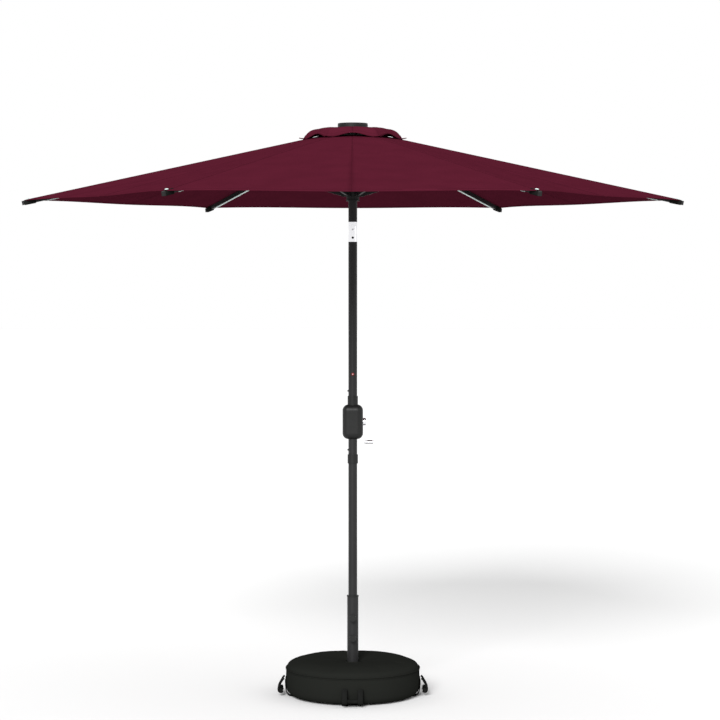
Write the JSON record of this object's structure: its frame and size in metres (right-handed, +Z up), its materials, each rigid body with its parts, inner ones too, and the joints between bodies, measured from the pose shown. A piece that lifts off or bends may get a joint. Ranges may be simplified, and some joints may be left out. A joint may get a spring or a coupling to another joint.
{
  "type": "patio umbrella",
  "caption": "Crank-lift patio umbrella with a tilting hexagonal canopy, vent cap and solar light, standing in a round sand-filled base with carrying handles.",
  "frame": {"origin": "on the ground, on the axis of the pole", "axes": "+Z up along the pole; +X towards the crank, with rib 1 above it; the head tilts towards -X; the clamping knobs and the light switch face -Y"},
  "size_m": [2.8712, 2.4936, 2.477],
  "materials": {
    "canopy_cloth": "woven polyester, matte, burgundy",
    "oxford_cloth": "coated oxford weave, dull black",
    "webbing": "ribbed webbing, black",
    "sand": "loose sand",
    "black_steel": "powder coat, satin black",
    "pole_paint": "powder coat, satin charcoal",
    "black_plastic": "moulded, fine grain",
    "housing_plastic": "moulded, fine grain",
    "bright_steel": "zinc plated",
    "chrome": "polished",
    "switch_red": "gloss red",
    "solar_cell": "dark cell under clear resin"
  },
  "bodies": {
    "base": {"weight_bag": "oxford_cloth", "sand_fill": "sand", "base_plate": "black_steel", "stand_tube": "black_steel", "pole_bushes": "black_plastic", "bag_straps": "webbing"},
    "pole": {"lower_pole": "pole_paint", "pole_sleeve": "black_plastic", "upper_pole": "pole_paint", "housing_front": "housing_plastic", "housing_back": "housing_plastic", "housing_screws": "bright_steel", "crank_bush": "black_plastic", "tilt_fork": "chrome", "tilt_pin": "bright_steel"},
    "head": {"tilt_tongue": "chrome", "head_tube": "pole_paint", "hub": "black_plastic", "hub_pins": "bright_steel", "vent_disc": "canopy_cloth", "solar_housing": "black_plastic", "solar_panel": "solar_cell"},
    "runner": {"runner": "black_plastic"},
    "crank": {"crank_spool": "black_plastic", "crank_arm": "chrome"},
    "crank_grip": {"crank_grip": "chrome"},
    "knob_lower": {"knob_lower": "black_plastic"},
    "knob_upper": {"knob_upper": "black_plastic"},
    "snap_button_lower": {"snap_button_lower": "bright_steel"},
    "snap_button_upper": {"snap_button_upper": "bright_steel"},
    "light_switch": {"light_switch": "switch_red"},
    "tilt_button": {"tilt_button": "black_plastic"},
    "handle_right": {"handle_right": "webbing"},
    "handle_back": {"handle_back": "webbing"},
    "handle_left": {"handle_left": "webbing"},
    "handle_front": {"handle_front": "webbing"},
    "rib_1": {"rib_1": "black_steel", "rib_fittings_1": "black_steel", "canopy_gore_1": "canopy_cloth"},
    "strut_1": {"strut_1": "black_steel"},
    "rib_2": {"rib_2": "black_steel", "rib_fittings_2": "black_steel", "canopy_gore_2": "canopy_cloth"},
    "strut_2": {"strut_2": "black_steel"},
    "rib_3": {"rib_3": "black_steel", "rib_fittings_3": "black_steel", "canopy_gore_3": "canopy_cloth"},
    "strut_3": {"strut_3": "black_steel"},
    "rib_4": {"rib_4": "black_steel", "rib_fittings_4": "black_steel", "canopy_gore_4": "canopy_cloth"},
    "strut_4": {"strut_4": "black_steel"},
    "rib_5": {"rib_5": "black_steel", "rib_fittings_5": "black_steel", "canopy_gore_5": "canopy_cloth"},
    "strut_5": {"strut_5": "black_steel"},
    "rib_6": {"rib_6": "black_steel", "rib_fittings_6": "black_steel", "canopy_gore_6": "canopy_cloth"},
    "strut_6": {"strut_6": "black_steel"}
  },
  "joints": [
    {"name": "pole_turn", "type": "hinge", "parent": "base", "child": "pole", "pos_m": [0, 0, 0.4], "axis": [0, 0, 1], "continuous": true},
    {"name": "canopy_tilt", "type": "hinge", "parent": "pole", "child": "head", "pos_m": [0, 0, 2.017], "axis": [0, 1, 0], "range_deg": [-35.1, 0]},
    {"name": "canopy_fold", "type": "slide", "parent": "head", "child": "runner", "axis": [0, 0, -1], "range_m": [0, 0.73116]},
    {"name": "crank_turn", "type": "hinge", "parent": "pole", "child": "crank", "pos_m": [0.03, 0, 1.183], "axis": [1, 0, 0], "range_deg": [0, 4189.75]},
    {"name": "crank_grip_spin", "type": "hinge", "parent": "crank", "child": "crank_grip", "pos_m": [0.07, 0, 1.095], "axis": [1, 0, 0], "continuous": true},
    {"name": "knob_lower_turn", "type": "hinge", "parent": "base", "child": "knob_lower", "pos_m": [0, -0.04, 0.249], "axis": [0, -1, 0], "continuous": true},
    {"name": "knob_upper_turn", "type": "hinge", "parent": "base", "child": "knob_upper", "pos_m": [0, -0.04, 0.336], "axis": [0, -1, 0], "continuous": true},
    {"name": "snap_button_lower_press", "type": "slide", "parent": "pole", "child": "snap_button_lower", "axis": [1, 0, 0], "range_m": [0, 0.004], "stiffness_N_per_m": 600},
    {"name": "snap_button_upper_press", "type": "slide", "parent": "pole", "child": "snap_button_upper", "axis": [1, 0, 0], "range_m": [0, 0.004], "stiffness_N_per_m": 600},
    {"name": "light_switch_press", "type": "slide", "parent": "pole", "child": "light_switch", "axis": [0, 1, 0], "range_m": [0, 0.0015], "stiffness_N_per_m": 600},
    {"name": "tilt_button_press", "type": "slide", "parent": "pole", "child": "tilt_button", "axis": [0, 1, 0], "range_m": [0, 0.003], "stiffness_N_per_m": 600},
    {"name": "handle_right_lift", "type": "hinge", "parent": "base", "child": "handle_right", "pos_m": [0.2954, 0, 0.076], "axis": [0, -1, 0], "range_deg": [0, 110]},
    {"name": "handle_back_lift", "type": "hinge", "parent": "base", "child": "handle_back", "pos_m": [0, 0.2954, 0.076], "axis": [1, 0, 0], "range_deg": [0, 110]},
    {"name": "handle_left_lift", "type": "hinge", "parent": "base", "child": "handle_left", "pos_m": [-0.2954, 0, 0.076], "axis": [0, 1, 0], "range_deg": [0, 110]},
    {"name": "handle_front_lift", "type": "hinge", "parent": "base", "child": "handle_front", "pos_m": [0, -0.2954, 0.076], "axis": [-1, 0, 0], "range_deg": [0, 110]},
    {"name": "rib_hinge_1", "type": "hinge", "parent": "head", "child": "rib_1", "pos_m": [0.035, 0, 2.433], "axis": [0, 1, 0], "range_deg": [0, 72.81], "deforming": ["canopy_gore_1"]},
    {"name": "strut_hinge_1", "type": "hinge", "parent": "rib_1", "child": "strut_1", "pos_m": [0.5199, 0, 2.30974], "axis": [0, 1, 0], "range_deg": [-144.12, 0]},
    {"name": "rib_hinge_2", "type": "hinge", "parent": "head", "child": "rib_2", "pos_m": [0.0175, 0.03031, 2.433], "axis": [-0.866, 0.5, 0], "range_deg": [0, 72.81], "deforming": ["canopy_gore_2"]},
    {"name": "strut_hinge_2", "type": "hinge", "parent": "rib_2", "child": "strut_2", "pos_m": [0.25995, 0.45025, 2.30974], "axis": [-0.866, 0.5, 0], "range_deg": [-144.12, 0]},
    {"name": "rib_hinge_3", "type": "hinge", "parent": "head", "child": "rib_3", "pos_m": [-0.0175, 0.03031, 2.433], "axis": [-0.866, -0.5, 0], "range_deg": [0, 72.81], "deforming": ["canopy_gore_3"]},
    {"name": "strut_hinge_3", "type": "hinge", "parent": "rib_3", "child": "strut_3", "pos_m": [-0.25995, 0.45025, 2.30974], "axis": [-0.866, -0.5, 0], "range_deg": [-144.12, 0]},
    {"name": "rib_hinge_4", "type": "hinge", "parent": "head", "child": "rib_4", "pos_m": [-0.035, 0, 2.433], "axis": [0, -1, 0], "range_deg": [0, 72.81], "deforming": ["canopy_gore_4"]},
    {"name": "strut_hinge_4", "type": "hinge", "parent": "rib_4", "child": "strut_4", "pos_m": [-0.5199, 0, 2.30974], "axis": [0, -1, 0], "range_deg": [-144.12, 0]},
    {"name": "rib_hinge_5", "type": "hinge", "parent": "head", "child": "rib_5", "pos_m": [-0.0175, -0.03031, 2.433], "axis": [0.866, -0.5, 0], "range_deg": [0, 72.81], "deforming": ["canopy_gore_5"]},
    {"name": "strut_hinge_5", "type": "hinge", "parent": "rib_5", "child": "strut_5", "pos_m": [-0.25995, -0.45025, 2.30974], "axis": [0.866, -0.5, 0], "range_deg": [-144.12, 0]},
    {"name": "rib_hinge_6", "type": "hinge", "parent": "head", "child": "rib_6", "pos_m": [0.0175, -0.03031, 2.433], "axis": [0.866, 0.5, 0], "range_deg": [0, 72.81], "deforming": ["canopy_gore_6"]},
    {"name": "strut_hinge_6", "type": "hinge", "parent": "rib_6", "child": "strut_6", "pos_m": [0.25995, -0.45025, 2.30974], "axis": [0.866, 0.5, 0], "range_deg": [-144.12, 0]}
  ],
  "couplings": [
    {"joint": "crank_turn", "follows": "canopy_fold", "rad_per_m": 100},
    {"joint": "rib_hinge_1", "follows": "canopy_fold", "rad_per_m": 1.7378},
    {"joint": "strut_hinge_1", "follows": "canopy_fold", "rad_per_m": -3.4399},
    {"joint": "rib_hinge_2", "follows": "canopy_fold", "rad_per_m": 1.7378},
    {"joint": "strut_hinge_2", "follows": "canopy_fold", "rad_per_m": -3.4399},
    {"joint": "rib_hinge_3", "follows": "canopy_fold", "rad_per_m": 1.7378},
    {"joint": "strut_hinge_3", "follows": "canopy_fold", "rad_per_m": -3.4399},
    {"joint": "rib_hinge_4", "follows": "canopy_fold", "rad_per_m": 1.7378},
    {"joint": "strut_hinge_4", "follows": "canopy_fold", "rad_per_m": -3.4399},
    {"joint": "rib_hinge_5", "follows": "canopy_fold", "rad_per_m": 1.7378},
    {"joint": "strut_hinge_5", "follows": "canopy_fold", "rad_per_m": -3.4399},
    {"joint": "rib_hinge_6", "follows": "canopy_fold", "rad_per_m": 1.7378},
    {"joint": "strut_hinge_6", "follows": "canopy_fold", "rad_per_m": -3.4399}
  ]
}
